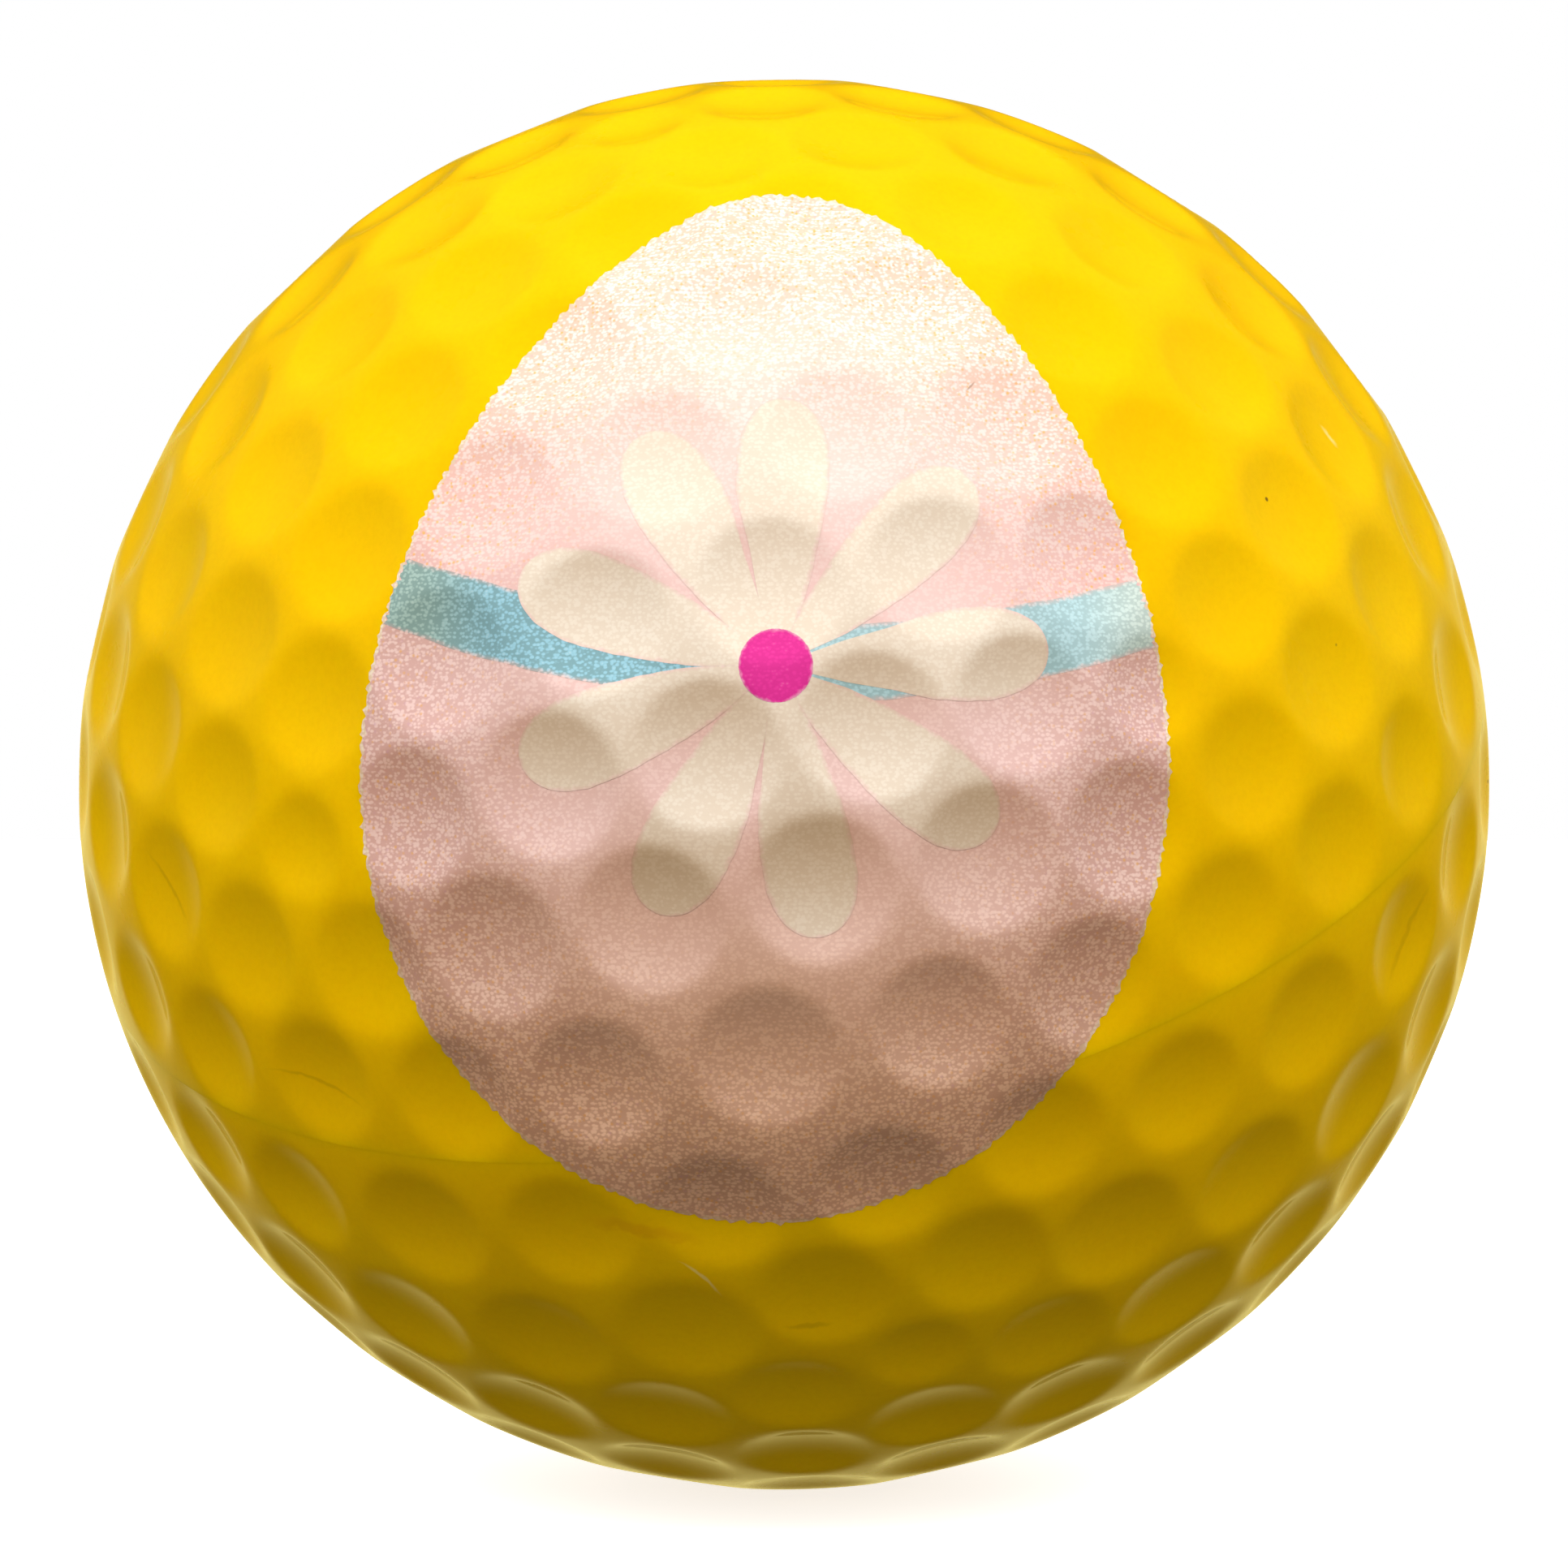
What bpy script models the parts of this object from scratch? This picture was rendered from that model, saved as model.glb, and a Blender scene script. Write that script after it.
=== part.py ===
"""Golf ball of two-piece construction with an egg and daisy print.

Solid rubber core, a dimpled cover moulded as two half shells that meet at
the parting line, and a stack of thin printed ink films on the front (-Y).
Units are metres, +Z is up and the origin is the centre of the ball.
"""
import math

import bmesh
import bpy
import numpy as np
from mathutils import Matrix, Vector

# Ball
BALL_RADIUS = 0.021335
COVER_INNER_RADIUS = 0.0198
CORE_RADIUS = 0.0195
PARTING_HALF_GAP = 0.0001
PARTING_SEGMENTS = 60
INNER_RINGS = 7

# Dimple lattice: an icosahedral net of six steps per edge whose equator row
# is left out, so that no dimple crosses the parting line.
LATTICE_STEPS = 6
LATTICE_SPREAD = 0.72
FIRST_ROW_ANGLE = math.radians(5.2)
HALF_STEP_TWIST = math.radians(6.0)
DIMPLE_ANGLE = math.radians(5.05)
FIRST_ROW_DIMPLE_ANGLE = math.radians(4.65)
SMALL_DIMPLE_ANGLE = math.radians(3.75)
DIMPLE_CLEARANCE = math.radians(0.35)
DIMPLE_DEPTH = 0.00032
SMALL_DIMPLE_DEPTH = 0.00024
RIM_SEGMENTS = 10

# How the moulded pattern is turned when the print is put on the ball
POLE_AZIMUTH = math.radians(-114.8)
POLE_TILT = math.radians(28.3)
POLE_SPIN = math.radians(-13.7)

# Ink films, in the plane the printing pad faces (x right, z up)
INK_CLEARANCE = 0.00005
INK_THICKNESS = 0.00005
INK_EDGE_GAP = 0.0001
EGG_CENTRE = (-0.00044, 0.00227)
EGG_HALF_WIDTH = 0.01054
EGG_HALF_HEIGHT = 0.01392
EGG_TAPER = -0.174
EGG_WAIST = -0.084
EGG_LEAN = math.radians(-2.7)
EGG_POINTS = 72
BASE_FRINGE = 0.0003
RIBBON_MIDDLE_Z = 0.0031
RIBBON_SLOPE = -0.017
RIBBON_SAG = 17.3
RIBBON_HALF_WIDTH = 0.00100
RIBBON_POINTS = 17
FLOWER_CENTRE = (-0.00021, 0.00305)
FLOWER_CENTRE_RADIUS = 0.00094
FLOWER_CENTRE_POINTS = 24
PETAL_COUNT = 9
PETAL_LENGTH = 0.0071
PETAL_START = 0.0013
PETAL_WIDTH_FACTOR = 0.00168
PETAL_TAPER = 0.65
PETAL_FIRST_ANGLE = math.radians(3.0)
PETAL_LEAN = (0.6, 1.8, 5.0, -2.6, -2.8, -1.9, 0.6, -3.5, -0.9)
PETAL_POINTS = 9
PRINT_BACK_Y = -0.009
PRINT_FRONT_Y = -0.024


def clear_scene():
    for old in list(bpy.data.objects):
        bpy.data.objects.remove(old, do_unlink=True)


def make_material(name, colour, roughness, metallic=0.0):
    mat = bpy.data.materials.new(name)
    mat.use_nodes = True
    shader = mat.node_tree.nodes["Principled BSDF"]
    shader.inputs["Base Color"].default_value = (*colour, 1.0)
    shader.inputs["Roughness"].default_value = roughness
    shader.inputs["Metallic"].default_value = metallic
    mat.diffuse_color = (*colour, 1.0)
    return mat


def add_object(name, points, faces, mat, smooth_angle=None):
    mesh = bpy.data.meshes.new(name)
    mesh.from_pydata([tuple(p) for p in points], [], [tuple(f) for f in faces])
    mesh.update()
    obj = bpy.data.objects.new(name, mesh)
    bpy.context.scene.collection.objects.link(obj)
    if mat is not None:
        mesh.materials.append(mat)
    if smooth_angle is not None:
        shade_smooth(obj, smooth_angle)
    return obj


def shade_smooth(obj, angle):
    """Shade round faces smooth and keep edges sharper than the angle crisp."""
    mesh = obj.data
    mesh.polygons.foreach_set("use_smooth", [True] * len(mesh.polygons))
    work = bmesh.new()
    work.from_mesh(mesh)
    for edge in work.edges:
        edge.smooth = edge.calc_face_angle(0.0) < angle
    work.to_mesh(mesh)
    work.free()


# Dimple lattice


def icosahedron():
    ring = math.atan(0.5)
    points = [Vector((0.0, 0.0, 1.0))]
    for sign, shift in ((1.0, 0.0), (-1.0, 0.5)):
        for k in range(5):
            turn = 2.0 * math.pi * (k + shift) / 5.0
            points.append(Vector((
                math.cos(ring) * math.cos(turn),
                math.cos(ring) * math.sin(turn),
                sign * math.sin(ring),
            )))
    points.append(Vector((0.0, 0.0, -1.0)))
    faces = []
    for k in range(5):
        n = (k + 1) % 5
        faces.append((0, 1 + k, 1 + n))
        faces.append((1 + k, 6 + k, 1 + n))
        faces.append((6 + k, 6 + n, 1 + n))
        faces.append((11, 6 + n, 6 + k))
    return points, faces


def half_lattice():
    """Dimple centres of the upper half and whether each is a small one."""
    corners, faces = icosahedron()
    found = []
    for face in faces:
        for i in range(LATTICE_STEPS + 1):
            for j in range(LATTICE_STEPS + 1 - i):
                shares = (i, j, LATTICE_STEPS - i - j)
                height = sum(corners[corner].z * share for corner, share in zip(face, shares))
                if height < 1e-3:
                    continue
                point = Vector((0.0, 0.0, 0.0))
                for corner, share in zip(face, shares):
                    point += corners[corner] * math.sin(LATTICE_SPREAD * share / LATTICE_STEPS)
                point.normalize()
                if any((point - other).length < 1e-4 for other, _ in found):
                    continue
                found.append((point, LATTICE_STEPS in shares))
    lowest = max(math.acos(min(1.0, point.z)) for point, _ in found)
    reach = (0.5 * math.pi - FIRST_ROW_ANGLE) / lowest
    stretched = []
    for point, small in found:
        polar = math.acos(min(1.0, point.z)) * reach
        turn = math.atan2(point.y, point.x)
        stretched.append((direction(polar, turn), small))
    return stretched


def direction(polar, turn):
    return Vector((
        math.sin(polar) * math.cos(turn),
        math.sin(polar) * math.sin(turn),
        math.cos(polar),
    ))


def other_half(point):
    """The half turn that carries the upper half of the pattern to the lower."""
    turn = math.radians(36.0) + HALF_STEP_TWIST
    return Vector((
        math.cos(turn) * point.x + math.sin(turn) * point.y,
        math.sin(turn) * point.x - math.cos(turn) * point.y,
        -point.z,
    ))


def dimple_sizes(dimples):
    """Rim angle of every dimple, kept clear of its nearest neighbours."""
    centres = [point for point, _ in dimples]
    centres += [other_half(point) for point, _ in dimples]
    table = np.array([tuple(point) for point in centres])
    nearest = []
    for k in range(len(dimples)):
        dots = table @ table[k]
        dots[k] = -1.0
        nearest.append(math.acos(min(1.0, float(dots.max()))))
    sizes = []
    for (point, small), gap in zip(dimples, nearest):
        if small:
            sizes.append((SMALL_DIMPLE_ANGLE, SMALL_DIMPLE_DEPTH))
            continue
        angle = min(DIMPLE_ANGLE, 0.5 * (gap - DIMPLE_CLEARANCE))
        if math.acos(point.z) > 0.5 * math.pi - 1.2 * FIRST_ROW_ANGLE:
            angle = min(angle, FIRST_ROW_DIMPLE_ANGLE)
        sizes.append((angle, DIMPLE_DEPTH * angle / DIMPLE_ANGLE))
    return sizes


def half_surface():
    """Outer surface of the upper half: points, faces and the parting loop."""
    dimples = half_lattice()
    sizes = dimple_sizes(dimples)
    points = []
    rim_of = []
    for k, ((centre, _), (angle, _)) in enumerate(zip(dimples, sizes)):
        side = centre.cross(Vector((0.0, 0.0, 1.0)))
        if side.length < 1e-6:
            side = Vector((1.0, 0.0, 0.0))
        side.normalize()
        up = centre.cross(side)
        for s in range(RIM_SEGMENTS):
            turn = 2.0 * math.pi * (s + 0.5) / RIM_SEGMENTS
            around = side * math.cos(turn) + up * math.sin(turn)
            points.append(centre * math.cos(angle) + around * math.sin(angle))
            rim_of.append(k)
    lift = PARTING_HALF_GAP / BALL_RADIUS
    reach = math.sqrt(1.0 - lift * lift)
    loop = []
    for s in range(PARTING_SEGMENTS):
        turn = 2.0 * math.pi * s / PARTING_SEGMENTS
        loop.append(len(points))
        points.append(Vector((reach * math.cos(turn), reach * math.sin(turn), lift)))
        rim_of.append(-1)
    faces = []
    for face in hull_faces(points):
        owners = {rim_of[v] for v in face}
        if len(owners) > 1:
            faces.append(face)
    for k, ((centre, _), (_, depth)) in enumerate(zip(dimples, sizes)):
        bottom = len(points)
        points.append(centre * (1.0 - depth / BALL_RADIUS))
        first = k * RIM_SEGMENTS
        for s in range(RIM_SEGMENTS):
            a = first + s
            b = first + (s + 1) % RIM_SEGMENTS
            faces.append(outward(points, (a, b, bottom)))
    return points, faces, loop


def hull_faces(points):
    """Triangles of the convex hull of points on the unit sphere."""
    work = bmesh.new()
    for point in points:
        work.verts.new(point * 100.0)
    work.verts.ensure_lookup_table()
    work.verts.index_update()
    bmesh.ops.convex_hull(work, input=work.verts, use_existing_faces=False)
    bmesh.ops.triangulate(work, faces=work.faces)
    faces = [outward(points, tuple(v.index for v in face.verts)) for face in work.faces]
    work.free()
    return faces


def outward(points, face):
    a, b, c = (points[v] for v in face)
    normal = (b - a).cross(c - a)
    if normal.dot(a + b + c) < 0.0:
        return face[::-1]
    return face


def pattern_turn():
    turn = Matrix.Rotation(POLE_AZIMUTH, 3, "Z")
    turn = turn @ Matrix.Rotation(POLE_TILT, 3, "Y")
    return turn @ Matrix.Rotation(POLE_SPIN, 3, "Z")


# Cover and core


def half_shell(name, surface, lower, mat):
    """One moulded half of the cover: dimpled outside, smooth inside."""
    points, faces, loop = surface
    solid = [point * BALL_RADIUS for point in points]
    shell = list(faces)
    previous = list(loop)
    floor = math.asin(PARTING_HALF_GAP / COVER_INNER_RADIUS)
    for ring in range(INNER_RINGS):
        polar = (0.5 * math.pi - floor) * (1.0 - ring / INNER_RINGS)
        current = []
        for s in range(PARTING_SEGMENTS):
            turn = 2.0 * math.pi * s / PARTING_SEGMENTS
            current.append(len(solid))
            solid.append(direction(polar, turn) * COVER_INNER_RADIUS)
        for s in range(PARTING_SEGMENTS):
            n = (s + 1) % PARTING_SEGMENTS
            shell.append((previous[s], previous[n], current[n], current[s])[::-1])
        previous = current
    top = len(solid)
    solid.append(Vector((0.0, 0.0, COVER_INNER_RADIUS)))
    for s in range(PARTING_SEGMENTS):
        n = (s + 1) % PARTING_SEGMENTS
        shell.append((previous[s], previous[n], top)[::-1])
    if lower:
        solid = [other_half(point) for point in solid]
    turn = pattern_turn()
    solid = [turn @ point for point in solid]
    return add_object(name, solid, shell, mat, math.radians(35.0))


def core(mat):
    mesh = bpy.data.meshes.new("core")
    work = bmesh.new()
    bmesh.ops.create_icosphere(work, subdivisions=4, radius=CORE_RADIUS)
    work.to_mesh(mesh)
    work.free()
    mesh.materials.append(mat)
    obj = bpy.data.objects.new("core", mesh)
    bpy.context.scene.collection.objects.link(obj)
    shade_smooth(obj, math.radians(60.0))
    return obj


# Ink films


def ink_layer(name, surface, low, high):
    """A closed shell that follows the whole dimpled surface at two heights."""
    points, faces, loop = surface
    count = len(points)
    whole = list(points) + [other_half(point) for point in points]
    skin = list(faces)
    skin += [tuple(v + count for v in face) for face in faces]
    turn_step = 2.0 * math.pi / PARTING_SEGMENTS
    partner = {}
    for s, v in enumerate(loop):
        mirrored = other_half(points[v])
        spot = math.atan2(mirrored.y, mirrored.x) / turn_step
        partner[int(round(spot)) % PARTING_SEGMENTS] = v + count
    for s in range(PARTING_SEGMENTS):
        n = (s + 1) % PARTING_SEGMENTS
        skin.append(outward(whole, (loop[s], partner[s], partner[n])))
        skin.append(outward(whole, (loop[s], partner[n], loop[n])))
    turn = pattern_turn()
    total = len(whole)
    solid = []
    for height in (high, low):
        for point in whole:
            placed = turn @ point
            solid.append(placed * BALL_RADIUS + placed.normalized() * height)
    shell = list(skin) + [tuple(v + total for v in face[::-1]) for face in skin]
    return add_object(name, solid, shell, None)


def prism(name, outline):
    """A cutter that runs an outline (x, z) through the print side of the ball."""
    area = sum(a[0] * b[1] - b[0] * a[1] for a, b in zip(outline, outline[1:] + outline[:1]))
    if area < 0.0:
        outline = outline[::-1]
    count = len(outline)
    points = [(x, PRINT_FRONT_Y, z) for x, z in outline]
    points += [(x, PRINT_BACK_Y, z) for x, z in outline]
    faces = [tuple(range(count)), tuple(reversed(range(count, 2 * count)))]
    for s in range(count):
        n = (s + 1) % count
        faces.append((n, s, s + count, n + count))
    obj = add_object(name, points, faces, None)
    obj.hide_render = True
    obj.display_type = "WIRE"
    return obj


def cut(source, name, keep=(), remove=()):
    """A new object: the source inside every kept cutter, less the removed ones."""
    obj = bpy.data.objects.new(name, source.data.copy())
    bpy.context.scene.collection.objects.link(obj)
    for cutters, operation in ((keep, "INTERSECT"), (remove, "DIFFERENCE")):
        for cutter in cutters:
            modifier = obj.modifiers.new("cut", "BOOLEAN")
            modifier.operation = operation
            modifier.solver = "EXACT"
            modifier.object = cutter
            graph = bpy.context.evaluated_depsgraph_get()
            mesh = bpy.data.meshes.new_from_object(obj.evaluated_get(graph))
            obj.modifiers.clear()
            obj.data = mesh
    tidy(obj)
    return obj


def tidy(obj):
    work = bmesh.new()
    work.from_mesh(obj.data)
    bmesh.ops.remove_doubles(work, verts=work.verts, dist=0.000001)
    bmesh.ops.dissolve_degenerate(work, edges=work.edges, dist=0.000001)
    bmesh.ops.triangulate(work, faces=work.faces)
    work.to_mesh(obj.data)
    work.free()


def bodies(obj):
    """The separate closed bodies of an object, largest first."""
    work = bmesh.new()
    work.from_mesh(obj.data)
    work.verts.index_update()
    seen = set()
    groups = []
    for start in work.verts:
        if start.index in seen:
            continue
        stack = [start]
        seen.add(start.index)
        group = []
        while stack:
            vert = stack.pop()
            group.append(vert.index)
            for edge in vert.link_edges:
                other = edge.other_vert(vert)
                if other.index not in seen:
                    seen.add(other.index)
                    stack.append(other)
        groups.append(sorted(group))
    work.free()
    mesh = obj.data
    result = []
    for group in groups:
        index = {v: k for k, v in enumerate(group)}
        points = [mesh.vertices[v].co.copy() for v in group]
        faces = []
        for polygon in mesh.polygons:
            if polygon.vertices[0] in index:
                faces.append(tuple(index[v] for v in polygon.vertices))
        middle = sum(points, Vector()) / len(points)
        result.append((len(faces), middle, points, faces))
    result.sort(key=lambda item: (-item[0], item[1].x))
    return result


def keep_body(source, name, mat, pick):
    """Make a film from the largest body of the source that passes the test."""
    for _, middle, points, faces in bodies(source):
        if pick(middle):
            return add_object(name, points, faces, mat, math.radians(35.0))
    return None


def egg_outline(grow):
    outline = []
    for s in range(EGG_POINTS):
        turn = 2.0 * math.pi * s / EGG_POINTS
        rise = math.sin(turn)
        width = (EGG_HALF_WIDTH + grow) * (1.0 + EGG_TAPER * rise + EGG_WAIST * rise * rise)
        x = width * math.cos(turn)
        z = (EGG_HALF_HEIGHT + grow) * rise
        outline.append((
            EGG_CENTRE[0] + x * math.cos(EGG_LEAN) - z * math.sin(EGG_LEAN),
            EGG_CENTRE[1] + x * math.sin(EGG_LEAN) + z * math.cos(EGG_LEAN),
        ))
    return outline


def ribbon_z(x):
    return RIBBON_MIDDLE_Z + RIBBON_SLOPE * x + RIBBON_SAG * x * x


def ribbon_edge(offset):
    edge = []
    for s in range(RIBBON_POINTS):
        x = -0.014 + 0.028 * s / (RIBBON_POINTS - 1)
        edge.append((x, ribbon_z(x) + offset))
    return edge


def petal_angle(index):
    rounds, place = divmod(index, PETAL_COUNT)
    lean = math.radians(PETAL_LEAN[place])
    return PETAL_FIRST_ANGLE + 2.0 * math.pi * (rounds + place / PETAL_COUNT) + lean


def petal_outline(index, grow):
    """A petal, held back from the half-way lines to its two neighbours."""
    turn = petal_angle(index)
    left_wedge = math.tan(0.5 * (petal_angle(index + 1) - turn))
    right_wedge = math.tan(0.5 * (turn - petal_angle(index - 1)))
    left = []
    right = []
    for s in range(PETAL_POINTS):
        share = 0.5 - 0.5 * math.cos(math.pi * s / (PETAL_POINTS - 1))
        along = PETAL_START + (PETAL_LENGTH - PETAL_START) * share
        t = along / PETAL_LENGTH
        half = PETAL_WIDTH_FACTOR * t ** PETAL_TAPER * math.sqrt(max(0.0, 1.0 - t ** 5))
        if s == PETAL_POINTS - 1:
            left.append((along + grow, 0.0))
            continue
        left.append((along, min(half, left_wedge * along - 0.5 * INK_EDGE_GAP) + grow))
        right.append((along, -min(half, right_wedge * along - 0.5 * INK_EDGE_GAP) - grow))
    if grow > 0.0:
        start = PETAL_START - grow
        left.insert(0, (start, left[0][1]))
        right.insert(0, (start, right[0][1]))
    outline = []
    for along, across in left + right[::-1]:
        outline.append((
            FLOWER_CENTRE[0] + along * math.cos(turn) - across * math.sin(turn),
            FLOWER_CENTRE[1] + along * math.sin(turn) + across * math.cos(turn),
        ))
    return outline


def disc_outline(radius, count):
    outline = []
    for s in range(count):
        turn = 2.0 * math.pi * s / count
        outline.append((
            FLOWER_CENTRE[0] + radius * math.cos(turn),
            FLOWER_CENTRE[1] + radius * math.sin(turn),
        ))
    return outline


def print_films(surface):
    low = INK_CLEARANCE
    base_layer = ink_layer("base_layer", surface, low, low + INK_THICKNESS)
    low = 2.0 * INK_CLEARANCE + INK_THICKNESS
    colour_layer = ink_layer("colour_layer", surface, low, low + INK_THICKNESS)
    fringe = prism("fringe_cutter", egg_outline(0.0))
    inside = prism("egg_cutter", egg_outline(-BASE_FRINGE))
    whole_base = cut(base_layer, "whole_base", keep=(fringe,))
    keep_body(whole_base, "print_base", make_material("white_ink", (0.86, 0.83, 0.76), 0.6),
              lambda middle: True)
    colour = cut(colour_layer, "colour", keep=(inside,))

    hub = prism("hub_cutter", disc_outline(PETAL_START + 0.0006, FLOWER_CENTRE_POINTS))
    petals = [prism(f"petal_gap_{k}", petal_outline(k, INK_EDGE_GAP)) for k in range(PETAL_COUNT)]
    cream = make_material("cream_ink", (0.78, 0.68, 0.52), 0.6)
    for k in range(PETAL_COUNT):
        shape = prism(f"petal_cutter_{k}", petal_outline(k, 0.0))
        film = cut(colour, f"petal_film_{k}", keep=(shape,))
        own = cream.copy()
        own.name = f"cream_ink_{k + 1}"
        keep_body(film, f"petal_{k + 1}", own, lambda middle: True)
    spot = prism("spot_cutter", disc_outline(FLOWER_CENTRE_RADIUS, FLOWER_CENTRE_POINTS))
    film = cut(colour, "spot_film", keep=(spot,))
    keep_body(film, "flower_centre", make_material("magenta_ink", (0.78, 0.02, 0.30), 0.55),
              lambda middle: True)

    half = RIBBON_HALF_WIDTH
    band = prism("band_cutter", ribbon_edge(-half) + ribbon_edge(half)[::-1])
    film = cut(colour, "band_film", keep=(band,), remove=[hub] + petals)
    middle_x = FLOWER_CENTRE[0]
    keep_body(film, "ribbon_left", make_material("teal_ink_left", (0.20, 0.45, 0.52), 0.6),
              lambda middle: middle.x < middle_x)
    keep_body(film, "ribbon_right", make_material("teal_ink_right", (0.27, 0.55, 0.66), 0.6),
              lambda middle: middle.x > middle_x)

    reach = half + INK_EDGE_GAP
    above = prism("above_cutter", ribbon_edge(reach) + [(0.014, 0.02), (-0.014, 0.02)])
    below = prism("below_cutter", ribbon_edge(-reach) + [(0.014, -0.015), (-0.014, -0.015)])
    film = cut(colour, "upper_film", keep=(above,), remove=[hub] + petals)
    keep_body(film, "field_upper", make_material("pink_ink_upper", (0.80, 0.60, 0.57), 0.6),
              lambda middle: True)
    film = cut(colour, "lower_film", keep=(below,), remove=[hub] + petals)
    keep_body(film, "field_lower", make_material("pink_ink_lower", (0.72, 0.50, 0.47), 0.6),
              lambda middle: True)


def remove_helpers(kept):
    for obj in list(bpy.data.objects):
        if obj.name not in kept:
            bpy.data.objects.remove(obj, do_unlink=True)


def main():
    clear_scene()
    surface = half_surface()
    half_shell("cover_upper", surface, False, make_material("yellow_cover_upper", (0.90, 0.60, 0.004), 0.25))
    half_shell("cover_lower", surface, True, make_material("yellow_cover_lower", (0.90, 0.60, 0.004), 0.25))
    core(make_material("core_rubber", (0.10, 0.24, 0.30), 0.8))
    print_films(surface)
    kept = {"cover_upper", "cover_lower", "core", "print_base", "field_upper", "field_lower"}
    kept |= {"ribbon_left", "ribbon_right", "flower_centre"}
    kept |= {f"petal_{k + 1}" for k in range(PETAL_COUNT)}
    remove_helpers(kept)


main()
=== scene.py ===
"""Looks of the golf ball: dimpled translucent cover halves, core and printed ink.

Metres, +Z up. The print faces -Y and the ball's centre is the origin.
"""
import math

import bmesh
import bpy
import numpy as np
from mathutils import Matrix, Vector


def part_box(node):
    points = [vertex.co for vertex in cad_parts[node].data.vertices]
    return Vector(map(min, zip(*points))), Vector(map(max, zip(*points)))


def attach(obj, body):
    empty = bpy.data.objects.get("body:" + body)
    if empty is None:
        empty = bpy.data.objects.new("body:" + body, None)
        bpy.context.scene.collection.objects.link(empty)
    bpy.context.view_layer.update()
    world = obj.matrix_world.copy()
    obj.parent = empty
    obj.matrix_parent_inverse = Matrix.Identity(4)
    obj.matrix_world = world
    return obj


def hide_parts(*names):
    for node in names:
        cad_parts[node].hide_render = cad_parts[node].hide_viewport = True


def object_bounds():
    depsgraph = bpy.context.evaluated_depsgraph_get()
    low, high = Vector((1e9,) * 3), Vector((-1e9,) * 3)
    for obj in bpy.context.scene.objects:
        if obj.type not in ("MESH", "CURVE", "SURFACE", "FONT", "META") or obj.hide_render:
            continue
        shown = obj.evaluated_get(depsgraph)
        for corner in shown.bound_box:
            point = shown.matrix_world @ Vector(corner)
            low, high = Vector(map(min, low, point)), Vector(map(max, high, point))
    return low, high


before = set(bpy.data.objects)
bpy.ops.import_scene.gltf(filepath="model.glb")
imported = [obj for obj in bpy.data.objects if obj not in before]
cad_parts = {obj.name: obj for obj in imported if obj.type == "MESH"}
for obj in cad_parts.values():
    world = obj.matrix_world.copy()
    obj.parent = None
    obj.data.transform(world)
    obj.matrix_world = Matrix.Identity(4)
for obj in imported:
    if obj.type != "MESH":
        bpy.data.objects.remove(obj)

CAD_BOUNDS = [list(map(float, corner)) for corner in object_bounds()]

# Ball, a hair inside the corners of the CAD's facets
BALL_RADIUS = 0.021325
COVER_THICKNESS = 0.00150
PARTING_GAP = 0.0000004

# Dimple layout, the same rule as the CAD's
LATTICE_STEPS = 6
LATTICE_SPREAD = 0.72
FIRST_ROW_ANGLE = math.radians(5.2)
HALF_STEP_TWIST = math.radians(6.0)
DIMPLE_ANGLE = math.radians(5.25)
FIRST_ROW_DIMPLE_ANGLE = math.radians(4.9)
SMALL_DIMPLE_ANGLE = math.radians(3.9)
DIMPLE_CLEARANCE = math.radians(0.25)
DIMPLE_DEPTH = 0.00032
SMALL_DIMPLE_DEPTH = 0.00024
RIM_SOFTNESS = 0.09
POLE_AZIMUTH = math.radians(-114.8)
POLE_TILT = math.radians(28.3)
POLE_SPIN = math.radians(-13.7)

# A dimple has no more effect this many softnesses outside its rim, and the surface
# is worked out for this many directions at once
BOWL_FLOOR = -20.0
DIRECTIONS_AT_ONCE = 10000

# Mesh density, and the angle past which an edge stays crisp
COVER_GRID = 288
INNER_RINGS = 5
CORE_GRID = 96
EGG_GRID = 190
FIELD_ROWS = 88
UPPER_FIELD_COLUMNS = 420
LOWER_FIELD_COLUMNS = 460
RIBBON_GRID = (110, 26)
PETAL_GRID = (70, 30)
SPOT_GRID = 72
EDGE_CREASE = math.radians(50.0)

# Core surface: how far it lies under the nominal radius, the flash that the mould's
# halves left, the grinding marks, and the weld that joins the two halves of its mesh
CORE_SINK = 0.00008
FLASH_HEIGHT = 0.00006
FLASH_WIDTH = 0.012
GRIND_DEPTH = 0.000015
CORE_WELD = 0.000002

# Print, on the plane the printing pad faces (x right, z up)
EGG_CENTRE = (-0.00044, 0.00227)
EGG_HALF_WIDTH = 0.01054
EGG_HALF_HEIGHT = 0.01392
EGG_TAPER = -0.174
EGG_WAIST = -0.084
EGG_LEAN = math.radians(-2.7)
FRINGE = 0.00008
FLOWER_CENTRE = (-0.00021, 0.00305)
FLOWER_CENTRE_RADIUS = 0.00096
RIBBON_MIDDLE_Z = 0.0031
RIBBON_SLOPE = -0.017
RIBBON_SAG = 17.3
RIBBON_HALF_WIDTH = 0.00100
RIBBON_START = 0.0003
RIBBON_REACH = 0.0125
RIBBON_FADE = (0.0074, 0.0098)
RIBBON_LEFT_END = -0.0102
RIBBON_RIGHT_END = 0.0095
PETAL_COUNT = 9
PETAL_LENGTH = 0.0071
PETAL_START = 0.0004
PETAL_WIDTH_FACTOR = 0.00168
PETAL_TAPER = 0.65
PETAL_SIDE = 0.499
FIRST_PETAL_SIDE = 0.405
PETAL_SLIT = 0.00009
SLIT_START = 0.0018
SLIT_LENGTH = 0.0012
PETAL_FIRST_ANGLE = math.radians(3.0)
PETAL_LEAN = (0.6, 1.8, 5.0, -2.6, -2.8, -1.9, 0.6, -3.5, -0.9)

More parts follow.
